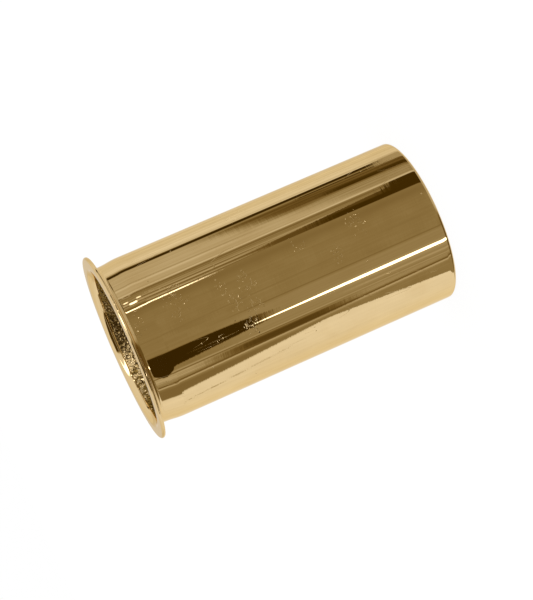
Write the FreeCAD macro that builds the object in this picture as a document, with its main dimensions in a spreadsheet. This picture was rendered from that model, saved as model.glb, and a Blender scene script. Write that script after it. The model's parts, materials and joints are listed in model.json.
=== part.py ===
import FreeCAD, Part

import math
import os

import Sketcher

# A metal guitar slide: a thin polished shell, spun with a flange at its mouth,
# over a thick sleeve with a rough bore that grips the finger.
# +Z runs along the tube. The plain far end stands at z = 0 and the flange is on top.
# The origin is the centre of the far end.

DIMENSIONS = (
    # alias, millimetres, meaning
    ("overall_length", 50.8, "far end to flange face"),
    ("barrel_radius", 13.1, "outside of the tube, the playing surface"),
    ("shell_wall", 0.6, "metal thickness of the spun shell and its flange"),
    ("flange_radius", 15.0, "outside of the flange"),
    ("neck_depth", 0.26, "how far the tube is drawn in behind the flange"),
    ("neck_sweep", 11.0, "radius of the two equal arcs that lead into the neck"),
    ("back_fillet", 0.8, "hollow fillet between the flange's back and the neck"),
    ("lip_radius", 1.05, "rounded lip between the flange's face and the bore"),
    ("far_edge_round", 0.45, "rounded outer edge of the far end"),
    ("bore_radius", 10.75, "finger bore of the sleeve"),
    ("flare_run", 6.0, "length over which the bore opens out to the mouth"),
    ("sleeve_edge", 0.15, "flat edge of the sleeve where it meets the lip"),
    ("bore_exit_round", 0.8, "rounded edge of the bore at the far end"),
)

# A sketch's own origin, and the ends and centre of a curve, as sketch constraints name them.
ROOT_POINT = (-1, 1)
START, END, CENTRE = 1, 2, 3

# A thin shell keeps far less of its blank than this.
HOLLOW_SHARE = 0.5

doc = FreeCAD.newDocument("guitar_slide")

sheet = doc.addObject("Spreadsheet::Sheet", "dims")
for row, (alias, value, meaning) in enumerate(DIMENSIONS, start=1):
    sheet.set(f"A{row}", alias)
    sheet.set(f"B{row}", str(value))
    sheet.set(f"C{row}", meaning)
    sheet.setAlias(f"B{row}", alias)
doc.recompute()


def size(alias):
    """A driving dimension, read back from the sheet."""
    return float(sheet.get(alias))


class Outline:
    """A closed outline in the plane of the tube's axis: x is the radius, y the height."""

    def __init__(self, body, name):
        plane = next(item for item in body.Origin.OriginFeatures if item.Role == "XZ_Plane")
        self.sketch = body.newObject("Sketcher::SketchObject", name)
        self.sketch.AttachmentSupport = [(plane, "")]
        self.sketch.MapMode = "FlatFace"

    def line(self, start, end):
        points = [FreeCAD.Vector(x, y, 0) for x, y in (start, end)]
        index = self.sketch.addGeometry(Part.LineSegment(*points), False)
        kind = "Horizontal" if start[1] == end[1] else "Vertical"
        self.sketch.addConstraint(Sketcher.Constraint(kind, index))
        return index

    def arc(self, centre, radius, from_degrees, to_degrees):
        circle = Part.Circle(FreeCAD.Vector(*centre, 0), FreeCAD.Vector(0, 0, 1), radius)
        span = (math.radians(from_degrees), math.radians(to_degrees))
        return self.sketch.addGeometry(Part.ArcOfCircle(circle, *span), False)

    def smooth(self, first, first_end, second, second_end):
        """The two ends meet, and one curve runs on into the other."""
        self.sketch.addConstraint(
            Sketcher.Constraint("Tangent", first, first_end, second, second_end)
        )

    def corner(self, first, first_end, second, second_end):
        """The two ends meet at an angle."""
        self.sketch.addConstraint(
            Sketcher.Constraint("Coincident", first, first_end, second, second_end)
        )

    def level(self, first, first_point, second, second_point):
        """The two points are at one height."""
        self.sketch.addConstraint(
            Sketcher.Constraint("Horizontal", first, first_point, second, second_point)
        )

    def measure(self, name, expression, kind, *where):
        """A dimension whose value is an expression on the sheet's cells."""
        if kind == "Radius":
            drawn = self.sketch.Geometry[where[0]].Radius
        else:
            gap = self.sketch.getPoint(*where[2:]) - self.sketch.getPoint(*where[:2])
            drawn = gap.x if kind == "DistanceX" else gap.y
        index = self.sketch.addConstraint(Sketcher.Constraint(kind, *where, drawn))
        self.sketch.renameConstraint(index, name)
        self.sketch.setExpression(f"Constraints.{name}", expression)


def revolve(body, kind, outline, name):
    """Turn an outline through a whole turn about the tube's axis."""
    feature = body.newObject(kind, name)
    feature.Profile = outline.sketch
    feature.ReferenceAxis = (outline.sketch, ["V_Axis"])
    feature.Angle = 360.0
    outline.sketch.Visibility = False
    return feature


LENGTH = size("overall_length")
BARREL = size("barrel_radius")
WALL = size("shell_wall")
FLANGE = size("flange_radius")
NECK = BARREL - size("neck_depth")
SWEEP = size("neck_sweep")
FILLET = size("back_fillet")
LIP = size("lip_radius")
EDGE = size("far_edge_round")
BORE = size("bore_radius")

# The neck is an S of two arcs that turn by this much, one each way, and it rises by neck_run.
neck_turn = math.degrees(math.acos(1.0 - (BARREL - NECK) / (2.0 * SWEEP)))
neck_run = 2.0 * SWEEP * math.sin(math.radians(neck_turn))


def add_inner_neck(outline, base):
    """The shell's inner wall from the base line up through the neck.

    Returns the upper arc, whose start is the top of the neck. The sleeve's outside
    follows the same arcs, so that the drawn-in neck holds the sleeve in the shell.
    """
    top = LENGTH - LIP
    start = top - neck_run
    wall = outline.line((BARREL - WALL, 0.0), (BARREL - WALL, start))
    lower = outline.arc((BARREL - SWEEP, start), SWEEP - WALL, 0.0, neck_turn)
    upper = outline.arc((NECK + SWEEP, top), SWEEP + WALL, 180.0, 180.0 + neck_turn)
    outline.corner(base, END, wall, START)
    outline.smooth(wall, END, lower, START)
    outline.smooth(lower, END, upper, END)
    outline.measure(
        "wall_x", "dims.barrel_radius - dims.shell_wall", "DistanceX", *ROOT_POINT, wall, START
    )
    outline.measure("lower_arc", "dims.neck_sweep - dims.shell_wall", "Radius", lower)
    outline.measure("upper_arc", "dims.neck_sweep + dims.shell_wall", "Radius", upper)
    outline.measure(
        "neck_x",
        "dims.barrel_radius - dims.neck_depth - dims.shell_wall",
        "DistanceX",
        *ROOT_POINT,
        upper,
        START,
    )
    return upper


# ---- flanged shell: the outside is revolved solid, then hollowed to an even wall ----
shell = doc.addObject("PartDesign::Body", "flanged_shell")
shell.Label = "flanged_shell"

blank = Outline(shell, "shell_outside")
neck_top = LENGTH - WALL - FILLET
neck_base = neck_top - neck_run
foot = blank.line((0.0, 0.0), (BARREL - EDGE, 0.0))
edge = blank.arc((BARREL - EDGE, EDGE), EDGE, -90.0, 0.0)
barrel = blank.line((BARREL, EDGE), (BARREL, neck_base))
lead_in = blank.arc((BARREL - SWEEP, neck_base), SWEEP, 0.0, neck_turn)
neck = blank.arc((NECK + SWEEP, neck_top), SWEEP, 180.0, 180.0 + neck_turn)
fillet = blank.arc((NECK + FILLET, neck_top), FILLET, 90.0, 180.0)
flange_back = blank.line((NECK + FILLET, LENGTH - WALL), (FLANGE - WALL / 2, LENGTH - WALL))
rim = blank.arc((FLANGE - WALL / 2, LENGTH - WALL / 2), WALL / 2, -90.0, 90.0)
face = blank.line((FLANGE - WALL / 2, LENGTH), (0.0, LENGTH))
axis = blank.line((0.0, LENGTH), (0.0, 0.0))
blank.corner(*ROOT_POINT, foot, START)
blank.smooth(foot, END, edge, START)
blank.smooth(edge, END, barrel, START)
blank.smooth(barrel, END, lead_in, START)
blank.smooth(lead_in, END, neck, END)
blank.smooth(neck, START, fillet, END)
blank.smooth(fillet, START, flange_back, START)
blank.smooth(flange_back, END, rim, START)
blank.smooth(rim, END, face, START)
blank.corner(face, END, axis, START)
blank.corner(axis, END, foot, START)
blank.level(neck, CENTRE, fillet, CENTRE)
blank.measure("length_y", "dims.overall_length", "DistanceY", *ROOT_POINT, face, END)
blank.measure("barrel_x", "dims.barrel_radius", "DistanceX", *ROOT_POINT, barrel, START)
blank.measure(
    "neck_x", "dims.barrel_radius - dims.neck_depth", "DistanceX", *ROOT_POINT, fillet, END
)
blank.measure(
    "rim_x", "dims.flange_radius - dims.shell_wall / 2", "DistanceX", *ROOT_POINT, rim, CENTRE
)
blank.measure("edge_round", "dims.far_edge_round", "Radius", edge)
blank.measure("lead_in_arc", "dims.neck_sweep", "Radius", lead_in)
blank.measure("neck_arc", "dims.neck_sweep", "Radius", neck)
blank.measure("fillet_arc", "dims.back_fillet", "Radius", fillet)
blank.measure("rim_arc", "dims.shell_wall / 2", "Radius", rim)
revolve(shell, "PartDesign::Revolution", blank, "shell_blank")
doc.recompute()
blank_volume = shell.Shape.Volume

hollow = Outline(shell, "shell_inside")
floor = hollow.line((0.0, 0.0), (BARREL - WALL, 0.0))
upper_neck = add_inner_neck(hollow, floor)
lip = hollow.arc((NECK - WALL + LIP, LENGTH - LIP), LIP, 90.0, 180.0)
mouth = hollow.line((NECK - WALL + LIP, LENGTH), (0.0, LENGTH))
middle = hollow.line((0.0, LENGTH), (0.0, 0.0))
hollow.corner(*ROOT_POINT, floor, START)
hollow.smooth(upper_neck, START, lip, END)
hollow.smooth(lip, START, mouth, START)
hollow.corner(mouth, END, middle, START)
hollow.corner(middle, END, floor, START)
hollow.level(upper_neck, CENTRE, lip, CENTRE)
hollow.measure("length_y", "dims.overall_length", "DistanceY", *ROOT_POINT, mouth, END)
hollow.measure("lip_arc", "dims.lip_radius", "Radius", lip)
revolve(shell, "PartDesign::Groove", hollow, "shell_hollow")
doc.recompute()
if shell.Shape.Volume > HOLLOW_SHARE * blank_volume:
    raise SystemExit("the shell was not hollowed")

# ---- grip sleeve: fills the shell from the far end up to the lip ----
sleeve = doc.addObject("PartDesign::Body", "grip_sleeve")
sleeve.Label = "grip_sleeve"

EXIT = size("bore_exit_round")
FLARE_RUN = size("flare_run")
sleeve_top = LENGTH - LIP
mouth_x = NECK - WALL - size("sleeve_edge")
flare_gain = mouth_x - BORE
flare_radius = (FLARE_RUN**2 + flare_gain**2) / (2.0 * flare_gain)
flare_turn = math.degrees(math.asin(FLARE_RUN / flare_radius))

section = Outline(sleeve, "sleeve_section")
base = section.line((BORE + EXIT, 0.0), (BARREL - WALL, 0.0))
sleeve_neck = add_inner_neck(section, base)
edge_flat = section.line((NECK - WALL, sleeve_top), (mouth_x, sleeve_top))
flare = section.arc(
    (BORE + flare_radius, sleeve_top - FLARE_RUN), flare_radius, 180.0 - flare_turn, 180.0
)
bore = section.line((BORE, sleeve_top - FLARE_RUN), (BORE, EXIT))
exit_round = section.arc((BORE + EXIT, EXIT), EXIT, 180.0, 270.0)
section.level(*ROOT_POINT, base, START)
section.corner(sleeve_neck, START, edge_flat, START)
section.level(sleeve_neck, START, sleeve_neck, CENTRE)
section.corner(edge_flat, END, flare, START)
section.smooth(flare, END, bore, START)
section.smooth(bore, END, exit_round, START)
section.smooth(exit_round, END, base, START)
section.measure(
    "top_y", "dims.overall_length - dims.lip_radius", "DistanceY", *ROOT_POINT, edge_flat, START
)
section.measure("edge_width", "dims.sleeve_edge", "DistanceX", edge_flat, END, edge_flat, START)
section.measure("bore_x", "dims.bore_radius", "DistanceX", *ROOT_POINT, bore, START)
section.measure("flare_y", "dims.flare_run", "DistanceY", flare, END, flare, START)
section.measure("exit_arc", "dims.bore_exit_round", "Radius", exit_round)
revolve(sleeve, "PartDesign::Revolution", section, "sleeve_solid")
doc.recompute()

# ---- check everything, then write one file for each piece ----
for item in doc.Objects:
    if "Invalid" in item.State or "Error" in item.State:
        raise SystemExit(f"{item.Name} failed to build")

os.makedirs("parts", exist_ok=True)
for piece in (shell, sleeve):
    shape = piece.Shape
    if shape.isNull() or not shape.isValid():
        raise SystemExit(f"{piece.Label} has no sound shape")
    shape.exportStep(f"parts/{piece.Label}.step")
    print(f"{piece.Label}: {shape.Volume:.1f} mm3, {len(shape.Solids)} solid")
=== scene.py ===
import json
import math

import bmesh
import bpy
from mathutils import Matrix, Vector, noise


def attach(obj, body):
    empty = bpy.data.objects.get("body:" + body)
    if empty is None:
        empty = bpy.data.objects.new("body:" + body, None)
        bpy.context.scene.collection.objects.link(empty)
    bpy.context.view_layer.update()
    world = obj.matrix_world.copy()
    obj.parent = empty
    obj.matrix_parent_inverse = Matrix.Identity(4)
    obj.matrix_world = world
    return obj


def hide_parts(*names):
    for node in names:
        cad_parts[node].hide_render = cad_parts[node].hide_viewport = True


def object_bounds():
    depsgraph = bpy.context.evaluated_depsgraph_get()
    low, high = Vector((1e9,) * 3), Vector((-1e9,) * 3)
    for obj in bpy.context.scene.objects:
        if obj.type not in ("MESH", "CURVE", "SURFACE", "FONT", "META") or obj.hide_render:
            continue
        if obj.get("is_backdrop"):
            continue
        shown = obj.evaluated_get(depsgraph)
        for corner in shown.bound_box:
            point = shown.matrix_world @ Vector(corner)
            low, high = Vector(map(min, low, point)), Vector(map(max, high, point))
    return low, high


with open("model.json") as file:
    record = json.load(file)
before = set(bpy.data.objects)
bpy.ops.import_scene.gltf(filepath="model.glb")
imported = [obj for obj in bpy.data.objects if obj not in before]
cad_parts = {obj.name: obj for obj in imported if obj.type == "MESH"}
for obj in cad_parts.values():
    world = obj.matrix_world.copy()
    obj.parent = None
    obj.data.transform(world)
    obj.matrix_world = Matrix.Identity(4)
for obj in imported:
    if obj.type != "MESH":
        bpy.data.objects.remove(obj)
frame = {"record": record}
CAD_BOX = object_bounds()

# %% [markdown]
# # A polished brass guitar slide
#
# A slide is a short metal tube that is worn on a finger. This one has two pieces: a thin
# shell of sheet brass, spun into a tube with a flange at its mouth and polished like a
# mirror, and a thick sleeve inside it whose bore was left rough, so that it grips the finger.
#
# The sizes come from the packed model. Its mounts give the radii of the tube and of the
# bore, and its box gives the flange and the length. Blender works in metres.

MM = 0.001
mounts = {mount["name"]: mount for mount in frame["record"]["mounts"]}
LENGTH = CAD_BOX[1][2]
BARREL = mounts["playing_surface"]["dims"]["r_mm"] * MM
BORE = mounts["finger_bore"]["dims"]["r_mm"] * MM
FLANGE = min(CAD_BOX[1][0], CAD_BOX[1][1])
print(f"tube {2 * BARREL / MM:.1f} mm across, {LENGTH / MM:.1f} mm long")
print(f"flange {2 * FLANGE / MM:.1f} mm across, bore {2 * BORE / MM:.1f} mm")

# %% [markdown]
# The small sizes are the maker's: the thickness of the sheet, the fillet behind the flange,
# the rounded lip, and the neck, where the tube is drawn in a little behind the flange.
# The neck is an S of two equal arcs, and its turn follows from their radius and its depth.

# %% The maker's small sizes
WALL = 0.6 * MM
NECK_DEPTH = 0.26 * MM
NECK_SWEEP = 11.0 * MM
BACK_FILLET = 0.8 * MM
LIP = 1.05 * MM
FAR_EDGE = 0.45 * MM
FLARE_RUN = 6.0 * MM
SLEEVE_EDGE = 0.15 * MM
BORE_EXIT = 0.8 * MM

NECK = BARREL - NECK_DEPTH
neck_turn = math.acos(1 - NECK_DEPTH / (2 * NECK_SWEEP))
NECK_RUN = 2 * NECK_SWEEP * math.sin(neck_turn)
print(f"the neck turns {math.degrees(neck_turn):.1f} degrees each way over {NECK_RUN / MM:.2f} mm")

# %% [markdown]
# ## The camera
#
# The camera stands about 28 cm away, a little above the flange, and it is turned over on its
# side, so that the slide lies across the picture with its mouth at the lower left.

# %% Camera
CAMERA_PLACE = Vector((-2.02, -276.3, 78.9)) * MM
CAMERA_DOWN = math.radians(10.6)
CAMERA_ROLL = math.radians(-113.6)
CAMERA_LENS = 108.9

camera = bpy.data.objects.new("camera", bpy.data.cameras.new("camera"))
bpy.context.scene.collection.objects.link(camera)
tilt = Matrix.Rotation(math.radians(90) - CAMERA_DOWN, 4, "X")
camera.matrix_world = (
    Matrix.Translation(CAMERA_PLACE) @ tilt @ Matrix.Rotation(CAMERA_ROLL, 4, "Z")
)
camera.data.lens = CAMERA_LENS
camera.data.clip_start = 0.01
bpy.context.scene.camera = camera
bpy.context.scene.view_settings.view_transform = "Standard"
print("camera", tuple(round(v / MM, 1) for v in CAMERA_PLACE))

# %% [markdown]
# ## Shader maths as Python
#
# A material is a graph of nodes. Written one node at a time it is long and hard to read,
# so two small classes hide the wiring. `Value` wraps an output socket, and an ordinary
# expression such as `1 - mask * 2` adds the Math nodes. `Graph` makes every other node.

# %% Shader helpers


class Value:
    """One number that changes over a surface."""

    def __init__(self, graph, socket):
        self.graph = graph
        self.socket = socket

    def __add__(self, other):
        return self.graph.math("ADD", self, other)

    def __radd__(self, other):
        return self.graph.math("ADD", other, self)

    def __sub__(self, other):
        return self.graph.math("SUBTRACT", self, other)

    def __rsub__(self, other):
        return self.graph.math("SUBTRACT", other, self)

    def __mul__(self, other):
        return self.graph.math("MULTIPLY", self, other)

    def __rmul__(self, other):
        return self.graph.math("MULTIPLY", other, self)

    def __truediv__(self, other):
        return self.graph.math("DIVIDE", self, other)

    def __neg__(self):
        return self.graph.math("MULTIPLY", self, -1.0)


class Graph:
    """The nodes of one material or world."""

    def __init__(self, owner):
        owner.use_nodes = True
        self.tree = owner.node_tree
        self.tree.nodes.clear()

    def node(self, kind, settings=None, inputs=None):
        """A node of any type: its settings first, then the values or links of its sockets."""
        made = self.tree.nodes.new(kind)
        for name, value in (settings or {}).items():
            setattr(made, name, value)
        for name, value in (inputs or {}).items():
            socket = made.inputs[name]
            if isinstance(value, Value):
                self.tree.links.new(value.socket, socket)
            else:
                socket.default_value = value
        return made

    def take(self, node, name=0):
        """One of a node's outputs, as a Value."""
        return Value(self, node.outputs[name])

    def math(self, operation, *terms):
        made = self.node("ShaderNodeMath", {"operation": operation}, dict(enumerate(terms)))
        return self.take(made)

    def step(self, x, low, high):
        """0 below low, 1 above high, and a soft step between."""
        made = self.node(
            "ShaderNodeMapRange",
            {"interpolation_type": "SMOOTHSTEP"},
            {"Value": x, "From Min": low, "From Max": high},
        )
        return self.take(made)

    def mix(self, a, b, factor):
        """From a to b by factor, for numbers."""
        made = self.node("ShaderNodeMix", {"data_type": "FLOAT"}, {0: factor, 2: a, 3: b})
        return self.take(made)

    def tint(self, a, b, factor):
        """From a to b by factor, for colours."""
        made = self.node("ShaderNodeMix", {"data_type": "RGBA"}, {0: factor, 6: a, 7: b})
        return self.take(made, 2)

    def ramp(self, x, stops):
        """A colour for each value of x."""
        made = self.node("ShaderNodeValToRGB", None, {0: x})
        elements = made.color_ramp.elements
        while len(elements) < len(stops):
            elements.new(1.0)
        for element, (place, colour) in zip(elements, stops):
            element.position = place
            element.color = (*colour, 1.0)
        return self.take(made)


operators = [name for name, item in vars(Value).items() if callable(item) and name != "__init__"]
print("a Value takes", *operators)

# %% [markdown]
# ## The studio
#
# A mirror shows nothing but its surroundings, so the look of polished metal is the look of
# the studio around it. On an upright tube each bearing round the room becomes one stripe
# along the tube. The room here is white paper, a brown board in front of the tube, a black
# flag, a narrow strip light and some grey edges, all drawn in the world shader.
#
# `bearing` is the direction round the tube, in degrees, and 0 is towards the camera.
# `lift` is the direction's height over the horizon, in degrees. `along` is how steeply the
# reflection goes down: 0 for what the camera sees in the tube's mouth end and 1 for what it
# sees in the far end. Its run is measured from halfway between the tube's axis and its front.
# The curved neck turns reflections further both ways, so `along` is kept between two values
# just past those ends, and `over_mouth` grows where it would fall below 0.

# %% World
LEAST_ALONG = -0.02
MOST_ALONG = 1.25
camera_reach = math.hypot(CAMERA_PLACE.x, CAMERA_PLACE.y) - BARREL / 2
DROP_MOUTH = (CAMERA_PLACE.z - LENGTH) / camera_reach
DROP_FAR = CAMERA_PLACE.z / camera_reach

world = bpy.data.worlds.new("studio")
bpy.context.scene.world = world
sky = Graph(world)
direction = sky.take(sky.node("ShaderNodeTexCoord"), "Generated")
parts = sky.node("ShaderNodeSeparateXYZ", None, {0: direction})
x, y, z = (sky.take(parts, axis) for axis in range(3))
run = sky.math("SQRT", x * x + y * y)
bearing = sky.math("DEGREES", sky.math("ARCTAN2", x, -y))
lift = sky.math("DEGREES", sky.math("ARCTAN2", z, run))
steepness = (-z / run - DROP_MOUTH) / (DROP_FAR - DROP_MOUTH)
along = sky.math("MAXIMUM", sky.math("MINIMUM", steepness, MOST_ALONG), LEAST_ALONG)
over_mouth = sky.math("MAXIMUM", sky.math("MINIMUM", -steepness, 1.0), 0.0)
print(f"reflections go down by {DROP_MOUTH:.3f} to {DROP_FAR:.3f} of their run")

# %% [markdown]
# A card covers a range of bearings, and its two edges can lean as they run along the tube.
# Soft edges are a card out of focus or a gentle shadow. Later cards lie over earlier ones.
# A card can also be kept between two heights over the horizon, which only the rounded lip,
# the fillet and the grains of the bore see. `levels` keeps the shade after each card, and the
# last of them is the finished studio.

# %% Cards
HORIZON_SOFT = 1.0
levels = [1.0]


def card(left, right, shade, soft=0.6, start=None, stop=None, fade=0.04, low=None, high=None):
    """Lays a card of one shade over the bearings from left to right."""
    mask = sky.step(bearing, left - soft, left + soft)
    mask = mask * (1 - sky.step(bearing, right - soft, right + soft))
    if start is not None:
        mask = mask * sky.step(along, start - fade, start + fade)
    if stop is not None:
        mask = mask * (1 - sky.step(along, stop - fade, stop + fade))
    if low is not None:
        mask = mask * sky.step(lift, low - HORIZON_SOFT, low + HORIZON_SOFT)
    if high is not None:
        mask = mask * (1 - sky.step(lift, high - HORIZON_SOFT, high + HORIZON_SOFT))
    levels.append(sky.mix(levels[-1], shade, mask))


print("the bare studio has", len(sky.tree.nodes), "nodes")

# %% [markdown]
# No real board is one even shade. These stripes and stains break the cards up: each is a
# noise that is short across and long along the tube, or the other way about. The cards share
# them, because a noise costs far more render time than the sums that use it.

# %% Streaks


def streaks(across, lengthwise, seed):
    """Uneven stripes, so many degrees across and so much of the tube long, from about -1 to 1."""
    vector = sky.node(
        "ShaderNodeCombineXYZ", None, {0: bearing / across, 1: along / lengthwise, 2: seed}
    )
    made = sky.node(
        "ShaderNodeTexNoise",
        None,
        {"Vector": sky.take(vector), "Scale": 1.0, "Detail": 2.0, "Roughness": 0.6},
    )
    return (sky.take(made) - 0.5) * 3.0


fine = streaks(0.9, 0.5, 1.0)
coarse = streaks(2.4, 0.6, 2.0)
broken = streaks(5.0, 0.02, 3.0)
mottle = streaks(14.0, 0.07, 4.0)
lines = streaks(1.6, 1.5, 5.0)
wide_lines = streaks(5.0, 1.2, 6.0)
print("with its six noises it has", len(sky.tree.nodes), "nodes")

# %% [markdown]
# On the left stands white paper with a creased corner. The bright edge of a board, its dark
# back and a blurred gap come next, up to the flag.

# %% Left of the camera
paper_corner = sky.math("MINIMUM", -97.0 + 32.0 * along, -60.7 - 29.3 * along)
edge_line = -76.3 + 8.3 * along
card(118.0, 400.0, 0.86 + 0.04 * mottle + 0.05 * broken + 0.24 * wide_lines, soft=12.0)
card(-400.0, -80.0, 0.98 + 0.05 * mottle + 0.05 * wide_lines, soft=2.0)
crease = sky.step(broken, -0.1, 0.3)
card(-123.5 + 52.0 * along, -120.5 + 52.0 * along, 1.0 - 0.5 * crease, soft=1.0, stop=0.5)
card(paper_corner, 113.0, 0.272 + 0.035 * mottle + 0.025 * coarse)
card(paper_corner, edge_line - 4.0, 0.2, soft=3.0, stop=0.5, fade=0.25)
card(-79.5 + 8.3 * along, edge_line, 0.33, soft=1.5, start=0.3, fade=0.2)
card(edge_line - 1.4, edge_line + 0.9, 0.52, soft=0.6)
card(edge_line + 1.2, edge_line + 3.4, 0.14 + 0.03 * fine, soft=0.6)
card(edge_line + 5.0, -58.0, 0.34 + 0.14 * fine, soft=1.5)
card(-68.0, -60.5, 0.5 + 0.2 * fine, soft=1.5, stop=0.2, fade=0.08)
card(-71.0, -61.0, 0.075 + 0.03 * fine, soft=2.5, start=0.26, stop=0.66, fade=0.1)
card(-60.0, -58.5, 0.17, soft=0.6, stop=0.6, fade=0.2)
card(-58.3, -56.4, 0.42, soft=0.6)
card(-56.0, -21.5, 0.325 + 0.03 * coarse, soft=2.5, start=0.3, fade=0.1)
card(-52.5, -50.0, 0.46, soft=0.8, start=0.7, fade=0.1)
print(len(levels) - 1, "cards up to the flag")

# %% [markdown]
# The black flag hangs from above, so it is widest over the mouth and its corner points down.
# The strip light stands under it. Both have a soft, broken end.

# %% Flag and strip light
flag_left = -53.0 - 8.0 * over_mouth + 22.0 * along
past_corner = sky.math("MAXIMUM", along - 0.2, 0.0)
flag_right = -28.3 - 70.0 * past_corner * past_corner
card(flag_left, flag_right, 0.022, soft=0.9, stop=0.42 + 0.03 * broken, fade=0.05)
card(-46.5, -36.0, 0.42, soft=3.0, start=0.65, fade=0.2)
strip_middle = -41.7 + 1.4 * along
strip_wide = 0.45 + 1.2 * sky.step(along, 0.38, 0.8)
louvre = sky.step(broken, 0.25, 0.6)
card(strip_middle - 0.7, strip_middle + 0.6, 0.03 + 0.9 * louvre, soft=0.5, start=0.2, stop=0.4)
strip_start = 0.4 + 0.04 * broken
card(
    strip_middle - strip_wide,
    strip_middle + strip_wide,
    6.0,
    soft=0.7,
    start=strip_start,
    fade=0.03,
    low=-40.0,
)
print(len(levels) - 1, "cards with the flag and the strip light")

# %% [markdown]
# In front of the tube the board is plain, with two thin seams. To its right come the edges
# of other boards: bright lines, brown stripes, a black block and a black edge.

# %% Right of the camera
card(-19.6, -18.2, 0.2, soft=0.7, start=0.33, fade=0.1)
card(-6.0 + 6.0 * along, -4.8 + 6.0 * along, 0.235, soft=0.8, stop=0.75, fade=0.2)
card(32.0, 46.0, 0.215, soft=8.0)
card(41.3 + 4.5 * along, 42.5 + 5.0 * along, 3.8 + 2.0 * broken, soft=0.5, stop=0.27, fade=0.09)
card(43.6 + 5.0 * along, 45.2 + 5.0 * along, 0.16, soft=0.5, stop=0.5, fade=0.1)
card(45.2 + 4.0 * along, 46.8 + 4.0 * along, 0.7, soft=0.5, start=0.1, stop=0.5, fade=0.1)
card(47.0, 56.5, 0.38 + 0.12 * fine + 0.3 * lines, soft=0.8)
card(56.5, 61.5, 0.29 + 0.08 * fine + 0.22 * lines, soft=0.6)
card(61.5, 64.0, 0.19, soft=0.6)
card(48.6, 49.8 + 2.0 * along, 0.15, soft=0.5, stop=0.62, fade=0.12)
card(50.6 + 2.0 * along, 51.8 + 2.0 * along, 0.6, soft=0.5, stop=0.42, fade=0.12)
card(52.8 + 2.0 * along, 54.2 + 2.0 * along, 0.17, soft=0.5, stop=0.5, fade=0.12)
card(49.8, 51.8, 4.0, soft=0.9, low=3.0, high=12.5)
card(54.2, 55.6, 2.4, soft=0.6, low=-3.0, high=2.0)
leaning = 0.46 + 0.012 * (94.0 - bearing) + 0.05 * fine
block_right = 44.0 + 16.0 * along + 7.0 * sky.step(along, 0.9, 0.93)
card(46.5, block_right, 0.1 + 0.03 * fine, soft=0.7, start=0.49, fade=0.06)
card(46.5, block_right, 0.035 + 0.01 * fine, soft=0.8, start=0.68, fade=0.07)
card(53.5, block_right, 0.085 + 0.03 * fine, soft=1.2, start=0.72, stop=0.9, fade=0.04)
card(64.6 + 1.6 * along, 67.2 + 1.6 * along, 0.7, soft=0.6)
card(67.4 + 1.6 * along, 106.0, 0.56 + 0.1 * coarse, soft=0.6)
card(76.0, 78.5, 0.72, soft=0.8, stop=0.4, fade=0.1)
card(79.5, 81.0, 0.42, soft=0.6, stop=0.5, fade=0.1)
card(69.5, 106.0, 0.36 + 0.14 * coarse + 0.2 * lines, soft=2.0, start=leaning + 0.04, fade=0.14)
card(84.0, 105.0, 0.12 + 0.09 * coarse + 0.07 * fine, soft=4.0, start=leaning, fade=0.13)
card(87.0, 93.5, 0.045 + 0.03 * fine, soft=1.0, start=0.74, fade=0.05)
card(102.0, 118.0, 0.45, soft=0.8, start=0.91, fade=0.012)
card(103.0, 105.0, 0.035, soft=0.5, start=0.65, stop=0.91, fade=0.012)
card(105.5 + 2.5 * along, 110.8 + 2.5 * along, 0.022, soft=1.0, stop=0.91, fade=0.012)
card(113.0 + 2.0 * along, 116.0 + 2.0 * along, 0.72, soft=1.0)
print(len(levels) - 1, "cards round the horizon")

# %% [markdown]
# Overhead is pale ceiling. The flag's dark arm crosses it on the left, with one thin gap of
# light in it, and a lamp leans across it on the right: the lamp gives the lip and the rim
# their white glints. Low down, the table is in shadow on the left and lit on the right.

# %% Overhead and table
card(-110.0, 2.0, 0.11 + 0.04 * coarse, soft=15.0, high=-24.0)
card(2.0, 110.0, 0.55 + 0.05 * coarse, soft=15.0, high=-24.0)
card(132.0, 400.0, 0.78, soft=8.0, low=1.0)
card(-400.0, -132.0, 0.78, soft=8.0, low=1.0)
card(-400.0, 400.0, 0.92 + 0.1 * mottle, low=17.0)
card(-66.0, 4.0, 0.045, soft=4.0, low=14.0, high=78.0)
card(-60.0, 4.0, 0.62, soft=4.0, low=28.0, high=32.0)
card(8.0 + 0.45 * lift, 26.0 + 0.5 * lift, 3.5, soft=3.0, low=13.0, high=80.0)
print(len(levels) - 1, "cards in all")

# %% [markdown]
# Dim things in a warm room are browner than bright ones, so the shade picks a colour from a
# ramp. The lights are brighter than the ramp's end, so it is scaled by the shade above 1.
# The floor and the backdrop get plain even light instead.

# %% World output
level = levels[-1]
shade = sky.ramp(
    level,
    [
        (0.0, (0.02, 0.01, 0.0)),
        (0.04, (0.07, 0.04, 0.003)),
        (0.13, (0.19, 0.13, 0.043)),
        (0.27, (0.33, 0.27, 0.15)),
        (0.54, (0.59, 0.54, 0.43)),
        (1.0, (1.0, 1.0, 1.0)),
    ],
)
light_path = sky.node("ShaderNodeLightPath")
mirrored = sky.take(light_path, "Is Glossy Ray")
strength = sky.math("MAXIMUM", level, 1.0)
plain = sky.node("ShaderNodeBackground", None, {"Color": (1, 1, 1, 1), "Strength": 1.0})
boards = sky.node("ShaderNodeBackground", None, {"Color": shade, "Strength": strength})
either = sky.node(
    "ShaderNodeMixShader", None, {0: mirrored, 1: sky.take(plain), 2: sky.take(boards)}
)
sky.node("ShaderNodeOutputWorld", None, {"Surface": sky.take(either)})
print(len(sky.tree.nodes), "nodes in the studio")

# %% [markdown]
# The floor is a pale sheet that glows like a light table, so the shadow under the slide stays
# faint. It is left out of the metal's reflections, because the cards are what is seen there.

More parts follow.
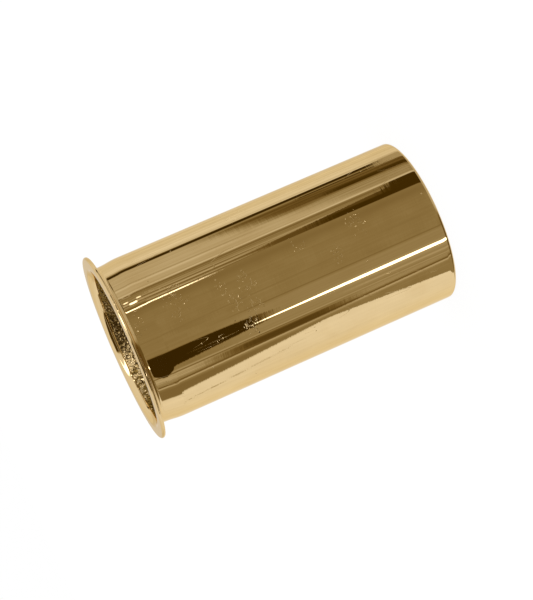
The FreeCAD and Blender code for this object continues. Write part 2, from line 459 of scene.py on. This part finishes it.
# %% Floor
FLOOR_SIZE = 3.0
FLOOR_GLOW = 0.92
FLOOR_GREY = 0.1
bm = bmesh.new()
bmesh.ops.create_grid(bm, x_segments=1, y_segments=1, size=FLOOR_SIZE)
floor_mesh = bpy.data.meshes.new("floor")
bm.to_mesh(floor_mesh)
bm.free()
floor = bpy.data.objects.new("floor", floor_mesh)
bpy.context.scene.collection.objects.link(floor)
floor.visible_glossy = False
paper = bpy.data.materials.new("pale_floor")
sheet = Graph(paper)
glow = sheet.node("ShaderNodeEmission", None, {"Color": (1, 1, 1, 1), "Strength": FLOOR_GLOW})
grey = (FLOOR_GREY, FLOOR_GREY, FLOOR_GREY, 1)
matt = sheet.node("ShaderNodeBsdfDiffuse", None, {"Color": grey})
both = sheet.node("ShaderNodeAddShader", None, {0: sheet.take(glow), 1: sheet.take(matt)})
sheet.node("ShaderNodeOutputMaterial", None, {"Surface": sheet.take(both)})
floor_mesh.materials.append(paper)
floor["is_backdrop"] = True
floor_width = 2 * max(vert.co.x for vert in floor_mesh.vertices)
print(f"a floor {floor_width:.0f} m wide that glows at {FLOOR_GLOW}")

# %% [markdown]
# ## Turning a section into a tube
#
# Both pieces are round, so both are made the way a lathe thinks: draw half the section,
# round its corners, and spin it. The section is drawn with sharp corners. A vertex bevel
# rounds each of them, and its offset is the distance from the corner to where the arc
# starts, which is the radius times the tangent of half the turn. Where two arcs meet, each
# stops just short, so that neither uses up the edge between them, and the two points that
# this leaves are merged. Flat faces are divided too, so that smooth shading can't pull the
# mirror's direction over from the round edges.

# %% Section
FLAT_PIECE = 0.2 * MM
LEVEL_WITHIN = 0.001 * MM
SAME_POINT = 0.002 * MM
SHORT = 0.999


def arc_reach(radius, turn):
    """How far from a corner its arc starts."""
    return radius * math.tan(turn / 2)


def section(bm, corners):
    """A closed wire of (radius, height, reach, segments) corners, each rounded by its reach."""
    verts = [bm.verts.new((radius, 0.0, height)) for radius, height, _, _ in corners]
    for first, second in zip(verts, verts[1:] + verts[:1]):
        bm.edges.new((first, second))
    for vert, (_, _, reach, segments) in zip(verts, corners):
        if reach > 0:
            bmesh.ops.bevel(
                bm,
                geom=[vert],
                offset=reach,
                offset_type="OFFSET",
                segments=segments,
                profile=0.5,
                affect="VERTICES",
                material=-1,
            )
    bmesh.ops.remove_doubles(bm, verts=bm.verts, dist=SAME_POINT)
    for edge in bm.edges[:]:
        rise = abs(edge.verts[0].co.z - edge.verts[1].co.z)
        cuts = round(edge.calc_length() / FLAT_PIECE) - 1
        if rise < LEVEL_WITHIN and cuts > 0:
            bmesh.ops.subdivide_edges(bm, edges=[edge], cuts=cuts)


quarter_turn = arc_reach(1.0, math.radians(90))
print(f"a quarter arc of 1 mm starts {quarter_turn:.2f} mm from its corner")

# %% [markdown]
# A straight wall needs rows of vertices wherever its surface is to be moved later, and a
# mirror shades more evenly with them. They are cut before the section is spun, when each cut
# divides one edge instead of a ring of them. The spin makes an eighth of the turn and copies
# it round: copying is quick, and spinning a fine piece all the way is slow.

# %% Rows and spin
ON_PLANE = 0.0005 * MM


def cut_rows(bm, low, high, gap, widest):
    """Divides the section's edges inside a radius at heights from low to high, gap apart."""
    rows = max(1, round((high - low) / gap))
    for row in range(rows + 1):
        height = low + (high - low) * row / rows
        edges = []
        for edge in bm.edges:
            if edge.verts[0].co.x + edge.verts[1].co.x < 2 * widest:
                edges.append(edge)
        bmesh.ops.bisect_plane(
            bm,
            geom=bm.verts[:] + edges,
            dist=ON_PLANE,
            plane_co=(0, 0, height),
            plane_no=(0, 0, 1),
        )


def spin(bm, steps):
    """Turns the section an eighth of a turn, then copies that round three times over."""
    bmesh.ops.spin(
        bm,
        geom=bm.verts[:] + bm.edges[:],
        cent=(0, 0, 0),
        axis=(0, 0, 1),
        dvec=(0, 0, 0),
        angle=math.radians(45),
        steps=steps // 8,
        use_merge=False,
        use_duplicate=False,
    )
    for degrees in (45, 90, 180):
        made = bmesh.ops.duplicate(bm, geom=bm.verts[:] + bm.edges[:] + bm.faces[:])
        copied = [item for item in made["geom"] if isinstance(item, bmesh.types.BMVert)]
        turned = Matrix.Rotation(math.radians(degrees), 3, "Z")
        bmesh.ops.rotate(bm, verts=copied, cent=(0, 0, 0), matrix=turned)
    bmesh.ops.remove_doubles(bm, verts=bm.verts, dist=ON_PLANE)
    bmesh.ops.recalc_face_normals(bm, faces=bm.faces)


trial = bmesh.new()
section(trial, [(1 * MM, 0.0, 0.0, 0), (2 * MM, 1 * MM, 0.0, 0), (1 * MM, 2 * MM, 0.0, 0)])
spin(trial, 16)
print("a triangle turned in 16 steps has", len(trial.faces), "faces")
trial.free()

# %% [markdown]
# A finished mesh becomes an object at the origin, where the packed model stands. Three calls
# finish it: it rides on the root body, the CAD node that it stands for is hidden, and it gets
# the slot of its material.

# %% Finished piece


def finish_piece(bm, name, node, material):
    """A smooth object from a bmesh, which stands for one CAD node."""
    mesh = bpy.data.meshes.new(name)
    for face in bm.faces:
        face.smooth = True
    bm.to_mesh(mesh)
    bm.free()
    piece = bpy.data.objects.new(name, mesh)
    bpy.context.scene.collection.objects.link(piece)
    mesh.materials.append(material)
    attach(piece, "root")
    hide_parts(node)
    print(name, len(mesh.vertices), "vertices", len(mesh.polygons), "faces")


print("pieces ride on the root body, because nothing on a slide moves")

# %% [markdown]
# ## Where a pattern lies on the tube
#
# Both finishes are drawn in millimetres from the far end's centre. They come from the Object
# coordinates, so a pattern stays with the metal. Three small helpers make the patterns:
# soft noise, a vector squeezed along its axes, and round cells.

# %% Coordinates on the tube


def tube_place(graph):
    """Object coordinates in millimetres, whole and as across, deep and height."""
    place = graph.take(graph.node("ShaderNodeTexCoord"), "Object")
    scaled = graph.node(
        "ShaderNodeVectorMath", {"operation": "SCALE"}, {0: place, "Scale": 1 / MM}
    )
    place = graph.take(scaled)
    parts = graph.node("ShaderNodeSeparateXYZ", None, {0: place})
    across, deep, height = (graph.take(parts, axis) for axis in range(3))
    return place, across, deep, height


def noise_at(graph, vector, scale, detail=2.0, roughness=0.5):
    """Soft noise from 0 to 1, whose lumps are about 1 / scale across."""
    made = graph.node(
        "ShaderNodeTexNoise",
        None,
        {"Vector": vector, "Scale": scale, "Detail": detail, "Roughness": roughness},
    )
    return graph.take(made)


def stretched(graph, vector, stretch):
    """The vector, squeezed along its axes, which draws a pattern out along them."""
    made = graph.node(
        "ShaderNodeVectorMath", {"operation": "MULTIPLY"}, {0: vector, 1: stretch}
    )
    return graph.take(made)


def cells_at(graph, vector, scale):
    """The distance to the nearest point of a scatter: round spots about 1 / scale apart."""
    made = graph.node("ShaderNodeTexVoronoi", None, {"Vector": vector, "Scale": scale})
    return graph.take(made, "Distance")


print(f"patterns are drawn {1 / MM:.0f} times as large as the mesh, which is in metres")

# %% [markdown]
# ## Polished brass
#
# Brass polished on a wheel is a mirror with a warm tint. It keeps the lines of the lathe
# round it, so faint that they only break up the end of a strip of light. The wheel presses
# soft waves along it. Small pits of the casting open up in groups, and handling leaves
# hairline scratches and a slight haze. All of these are in the normal and the roughness,
# because a mirror has hardly any colour of its own.

# %% Brass and its marks
BRASS = (0.775, 0.585, 0.315, 1.0)
BRASS_DEEP = (0.74, 0.545, 0.28, 1.0)
BRASS_EDGE_TINT = (0.915, 0.8, 0.58, 1.0)
LATHE_LINE = 0.002
WHEEL_WAVE = 0.0035
PIT_DEPTH = 0.03
SCRATCH_DEPTH = 0.002
LOOSE_PITS = 0.03
PITS_PER_MM = 2.4
LARGEST_PIT = 0.62
LONE_PITS_PER_MM = 1.1
GROUP_SQUASH = 0.7
MIRROR_ROUGHNESS = 0.025
HAZE_ROUGHNESS = 0.05
PIT_ROUGHNESS = 0.12

# Groups of pits: turn in degrees, height and half width in millimetres, and how many, to 1.
PIT_GROUPS = [
    (8.0, 31.5, 1.7, 1.0),
    (11.0, 35.0, 1.2, 0.6),
    (-2.0, 34.0, 1.3, 0.9),
    (9.0, 49.0, 1.6, 0.8),
    (14.0, 42.0, 2.4, 0.6),
    (14.0, 12.6, 1.8, 0.9),
    (0.5, 17.0, 1.4, 0.7),
    (-9.0, 31.5, 1.6, 0.6),
    (-21.0, 33.0, 1.5, 0.9),
    (-22.0, 38.0, 1.0, 0.7),
    (17.0, 22.0, 1.6, 0.6),
    (70.0, 28.0, 3.0, 0.7),
    (118.0, 14.0, 2.6, 0.7),
    (-95.0, 36.0, 3.0, 0.6),
    (165.0, 40.0, 2.6, 0.7),
    (-150.0, 18.0, 3.0, 0.7),
]
print(len(PIT_GROUPS), "groups of pits")

# %% [markdown]
# A pit is the middle of a cell, cut off at a small size. The groups say how much room there is
# for pits: each is an ellipse round its place on the tube, with an edge that noise makes
# uneven. `turn` is the bearing of a point on the tube, in degrees, and 0 is towards the
# camera. A few lone pits lie outside the groups.

# %% Pits
polished = bpy.data.materials.new("polished_brass")
shine = Graph(polished)
place, across, deep, height = tube_place(shine)
turn = shine.math("DEGREES", shine.math("ARCTAN2", across, -deep))

grouped = LOOSE_PITS
wobble = 2.4 * (noise_at(shine, place, 0.8, 2.0) - 0.5)
for group_turn, group_height, half_width, density in PIT_GROUPS:
    turn_gap = (turn - group_turn) / math.degrees(half_width * MM / BARREL)
    height_gap = (height - group_height) / (GROUP_SQUASH * half_width)
    away = turn_gap * turn_gap + height_gap * height_gap
    grouped = grouped + density * (1 - shine.step(away + wobble, 0.2, 1.6))
pit_room = shine.math("MINIMUM", grouped, 1.0)
pit_size = LARGEST_PIT * pit_room * shine.step(noise_at(shine, place, 1.9, 1.0), 0.38, 0.8)
pits = 1 - shine.step(cells_at(shine, place, PITS_PER_MM), 0.2 * pit_size, pit_size)
pits = pits * shine.step(pit_room, 0.05, 0.3)
lone_size = 0.4 * shine.step(noise_at(shine, place, 0.9, 1.0), 0.66, 0.72)
lone_cells = cells_at(shine, place, LONE_PITS_PER_MM)
lone_pits = 1 - shine.step(lone_cells, 0.1 * lone_size, 0.4 * lone_size)
pits = shine.math("MAXIMUM", pits, lone_pits * shine.step(lone_size, 0.05, 0.2))
print(len(shine.tree.nodes), "nodes for the pits")

# %% [markdown]
# A noise that is squeezed along the tube's axis gives the rings of the lathe, and one drawn out
# along it gives the waves of the wheel. A hairline scratch is where another noise crosses its
# middle value: that is always a thin, wandering line. The edge tint keeps the limb of the
# tube warm, where a plain metal turns white.

# %% Polished brass
lathe = noise_at(shine, stretched(shine, place, (0.12, 0.12, 1.5)), 1.0, 3.0, 0.6)
waves = noise_at(shine, stretched(shine, place, (0.35, 0.35, 0.05)), 1.0, 1.0)
scratch_field = noise_at(shine, stretched(shine, place, (0.5, 0.5, 0.09)), 1.0, 0.0)
scratched = 1 - shine.step(shine.math("ABSOLUTE", scratch_field - 0.5), 0.0, 0.004)
scratched = scratched * shine.step(noise_at(shine, place, 0.15), 0.52, 0.62)

haze = noise_at(shine, place, 0.12, 4.0, 0.6)
relief = LATHE_LINE * lathe + WHEEL_WAVE * waves - PIT_DEPTH * pits - SCRATCH_DEPTH * scratched
bump = shine.node("ShaderNodeBump", None, {"Height": relief, "Distance": 1 * MM, "Strength": 1.0})
tint = shine.tint(BRASS, BRASS_DEEP, shine.step(haze, 0.4, 0.75))
hazy = shine.step(haze, 0.5, 0.8)
roughness = MIRROR_ROUGHNESS + HAZE_ROUGHNESS * hazy + PIT_ROUGHNESS * pits
metal = shine.node(
    "ShaderNodeBsdfPrincipled",
    None,
    {
        "Base Color": tint,
        "Metallic": 1.0,
        "Roughness": roughness,
        "Specular Tint": BRASS_EDGE_TINT,
        "Normal": shine.take(bump),
    },
)
shine.node("ShaderNodeOutputMaterial", None, {"Surface": shine.take(metal)})
print(len(shine.tree.nodes), "nodes in the polished brass")

# %% [markdown]
# ## The flanged shell
#
# On the real slide a disc of sheet brass is pressed over a turning former, and its open end is
# folded out into the flange. The sheet keeps one thickness, so the inside of the section is
# the outside moved in by the wall, and the arcs of the neck are larger or smaller by the
# same wall. The lip is one arc from the inside up to the flange's face, and the rim is rounded
# over by half the sheet from each side. The heights run down from the flange.

# %% Shell
SHELL_STEPS = 256
SHELL_ROW = 1.0 * MM
RIM_REACH = 0.499 * WALL

back = LENGTH - WALL
outer_top = back - BACK_FILLET
inner_top = LENGTH - LIP
reach_out = arc_reach(NECK_SWEEP, neck_turn)
reach_in_low = arc_reach(NECK_SWEEP - WALL, neck_turn)
reach_in_high = arc_reach(NECK_SWEEP + WALL, neck_turn)

bm = bmesh.new()
section(
    bm,
    [
        (BARREL - WALL, 0.0, 0.0, 0),
        (BARREL, 0.0, FAR_EDGE, 8),
        (BARREL, outer_top - NECK_RUN + reach_out, reach_out * SHORT, 12),
        (NECK, outer_top - reach_out, reach_out * SHORT, 12),
        (NECK, back, BACK_FILLET, 16),
        (FLANGE, back, RIM_REACH, 8),
        (FLANGE, LENGTH, RIM_REACH, 8),
        (NECK - WALL, LENGTH, LIP, 16),
        (NECK - WALL, inner_top - reach_in_high, reach_in_high * SHORT, 8),
        (BARREL - WALL, inner_top - NECK_RUN + reach_in_low, reach_in_low * SHORT, 8),
    ],
)
cut_rows(bm, SHELL_ROW, outer_top - NECK_RUN - SHELL_ROW / 2, SHELL_ROW, FLANGE)
spin(bm, SHELL_STEPS)
finish_piece(bm, "polished_shell", "flanged_shell", polished)

# %% [markdown]
# ## Rough brass
#
# The bore was never machined. It has the skin that the sand left on the casting: sharp
# grains about half a millimetre across, with dark scale in the hollows between them and
# bare, bright tops. Shade is also painted into the colour: on the +x side the tops are
# darkened towards the scale's brown, and on the -x side the hollows are lighter and painted
# dark patches of shade grow more common towards that side's edge. These grains are bump, as
# large as the mesh's own and finer, and they lie over them. The end face was cut off on the
# lathe, so it has a smooth swell instead of grains.

# %% Rough brass
# The scale's brown serves both for the real scale in the hollows and for the painted shade.
SCALE_AND_SHADE_BROWN = (0.17, 0.105, 0.028, 1.0)
ROUGH_EDGE_TINT = (0.74, 0.56, 0.3, 1.0)
GRAIN_RELIEF = 0.09
FINE_RELIEF = 0.006
END_RELIEF = 0.012
# How dark the painted shade on the +x side is, how its edge wanders and how soft it is, and where
# the painted dark patches start.
PAINTED_SIDE_SHADE = 0.78
SHADE_EDGE_WANDER = 9.0
SHADE_EDGE_SOFTNESS = 4.0
SHADE_PATCH_OFFSET = 4.3
BARE_ROUGHNESS = 0.12
SCALE_ROUGHNESS = 0.2

rough = bpy.data.materials.new("rough_brass")
grit = Graph(rough)
place, across, _, height = tube_place(grit)
shifted = noise_at(grit, place, 2.0, 2.0)
grains = cells_at(grit, place, 2.1)
small_grains = cells_at(grit, place, 6.5)
lumps = noise_at(grit, place, 1.3, 3.0, 0.6)
tops = 1 - grit.step(grains + 0.6 * (lumps - 0.5), 0.12, 0.62)
cast = grit.step(height, 0.1, 0.5)
end_swell = noise_at(grit, stretched(grit, place, (1.0, 1.0, 0.0)), 0.2)
cast_relief = GRAIN_RELIEF * tops - FINE_RELIEF * small_grains + 0.5 * GRAIN_RELIEF * lumps
relief = grit.mix(END_RELIEF * end_swell, cast_relief, cast)
bump = grit.node("ShaderNodeBump", None, {"Height": relief, "Distance": 1 * MM, "Strength": 1.0})
# Painted shade: the +x side of the bore is painted darker, with a wandering soft edge, and painted
# dark patches lie on the -x side, more of them towards its edge.
wander = SHADE_EDGE_WANDER * (noise_at(grit, place, 0.35) - 0.5)
unshaded_side = 1 - grit.step(across + wander, -SHADE_EDGE_SOFTNESS, SHADE_EDGE_SOFTNESS)
hollows = (1 - grit.step(tops + 0.5 * (shifted - 0.5), 0.1, 0.55)) * cast
scale = hollows * (1 - 0.35 * unshaded_side) + PAINTED_SIDE_SHADE * cast * (1 - unshaded_side) * (1 - hollows)
shade_patch_field = 1.8 * noise_at(grit, place, 1.1) - 0.06 * (across + SHADE_PATCH_OFFSET)
shade_patches = grit.step(shade_patch_field, 0.92, 1.04)
scale = grit.math("MAXIMUM", scale, shade_patches * unshaded_side * cast)
tint = grit.tint(BRASS, SCALE_AND_SHADE_BROWN, scale)
metal = grit.node(
    "ShaderNodeBsdfPrincipled",
    None,
    {
        "Base Color": tint,
        "Metallic": 1.0,
        "Roughness": BARE_ROUGHNESS + SCALE_ROUGHNESS * hollows,
        "Specular Tint": ROUGH_EDGE_TINT,
        "Normal": grit.take(bump),
    },
)
grit.node("ShaderNodeOutputMaterial", None, {"Surface": grit.take(metal)})
print(len(grit.tree.nodes), "nodes in the rough brass")

# %% [markdown]
# ## The grip sleeve
#
# The sleeve fills the shell from the far end up to the lip. Its outside follows the drawn-in
# neck, which is what holds it. The bore flares towards the mouth on one long arc. The rows are
# close together where the grains can be seen and wider apart deep inside, and the wall that
# the shell hides has none.

# %% Sleeve section
SLEEVE_STEPS = 600
MOUTH_ROW = 0.12 * MM
DEEP_ROW = 0.8 * MM
PLAIN_END = 0.1 * MM

mouth = NECK - WALL - SLEEVE_EDGE
gain = mouth - BORE
flare_radius = (FLARE_RUN**2 + gain**2) / (2 * gain)
flare_turn = math.asin(FLARE_RUN / flare_radius)
flare_reach = arc_reach(flare_radius, flare_turn)

bm = bmesh.new()
section(
    bm,
    [
        (BORE, 0.0, BORE_EXIT, 8),
        (BARREL - WALL, 0.0, 0.0, 0),
        (BARREL - WALL, inner_top - NECK_RUN + reach_in_low, reach_in_low * SHORT, 8),
        (NECK - WALL, inner_top - reach_in_high, reach_in_high * SHORT, 8),
        (NECK - WALL, inner_top, 0.0, 0),
        (mouth, inner_top, 0.0, 0),
        (BORE, inner_top - FLARE_RUN + flare_reach, flare_reach * SHORT, 8),
    ],
)
cut_rows(bm, inner_top - FLARE_RUN, inner_top - PLAIN_END, MOUTH_ROW, mouth)
cut_rows(bm, BORE_EXIT, inner_top - FLARE_RUN, DEEP_ROW, mouth)
spin(bm, SLEEVE_STEPS)
print(f"a flare of {flare_radius / MM:.1f} mm radius, {len(bm.verts)} vertices")

# %% [markdown]
# The grains are real relief, so the bore's edge is uneven too and the grains hide each other.
# Each point of the bore moves in or out by a cell noise. They could be sculpted by hand, but
# a noise does the whole wall alike, and in the same way each time.

# %% Grains
GRAIN = 0.42 * MM
GRAIN_DEPTH = 0.15 * MM
DEEP_GRAIN = 1.6 * MM
PLAIN_EDGE = 0.02 * MM


def cell_bump(place, size):
    """A round-topped grain for every cell of a cell noise, from about -1 to 1."""
    return 1.0 - 1.6 * noise.voronoi(place / size)[0][0]


def grain(place):
    """The relief of the rough casting at a place, from -1 to 1."""
    swell = noise.noise(place / (3 * GRAIN))
    if place.z < inner_top - FLARE_RUN:
        return 0.6 * cell_bump(place, DEEP_GRAIN) + 0.4 * swell
    return 0.7 * cell_bump(place, GRAIN) + 0.5 * swell


for vert in bm.verts:
    radius = math.hypot(vert.co.x, vert.co.y)
    if radius < mouth - PLAIN_EDGE and vert.co.z > PLAIN_END:
        inward = Vector((-vert.co.x, -vert.co.y, 0)) / radius
        vert.co += inward * GRAIN_DEPTH * grain(vert.co)
finish_piece(bm, "rough_sleeve", "grip_sleeve", rough)

# %% [markdown]
# ## The two sizes
#
# The finer pieces must have the size of the packed ones. Both boxes are measured, and the
# largest gap between them is printed.

# %% Sizes of the CAD model and of this one
seen_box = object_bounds()
gaps = [abs(a - b) for cad, seen in zip(CAD_BOX, seen_box) for a, b in zip(cad, seen)]
print(f"the two boxes agree within {max(gaps) / MM:.3f} mm")
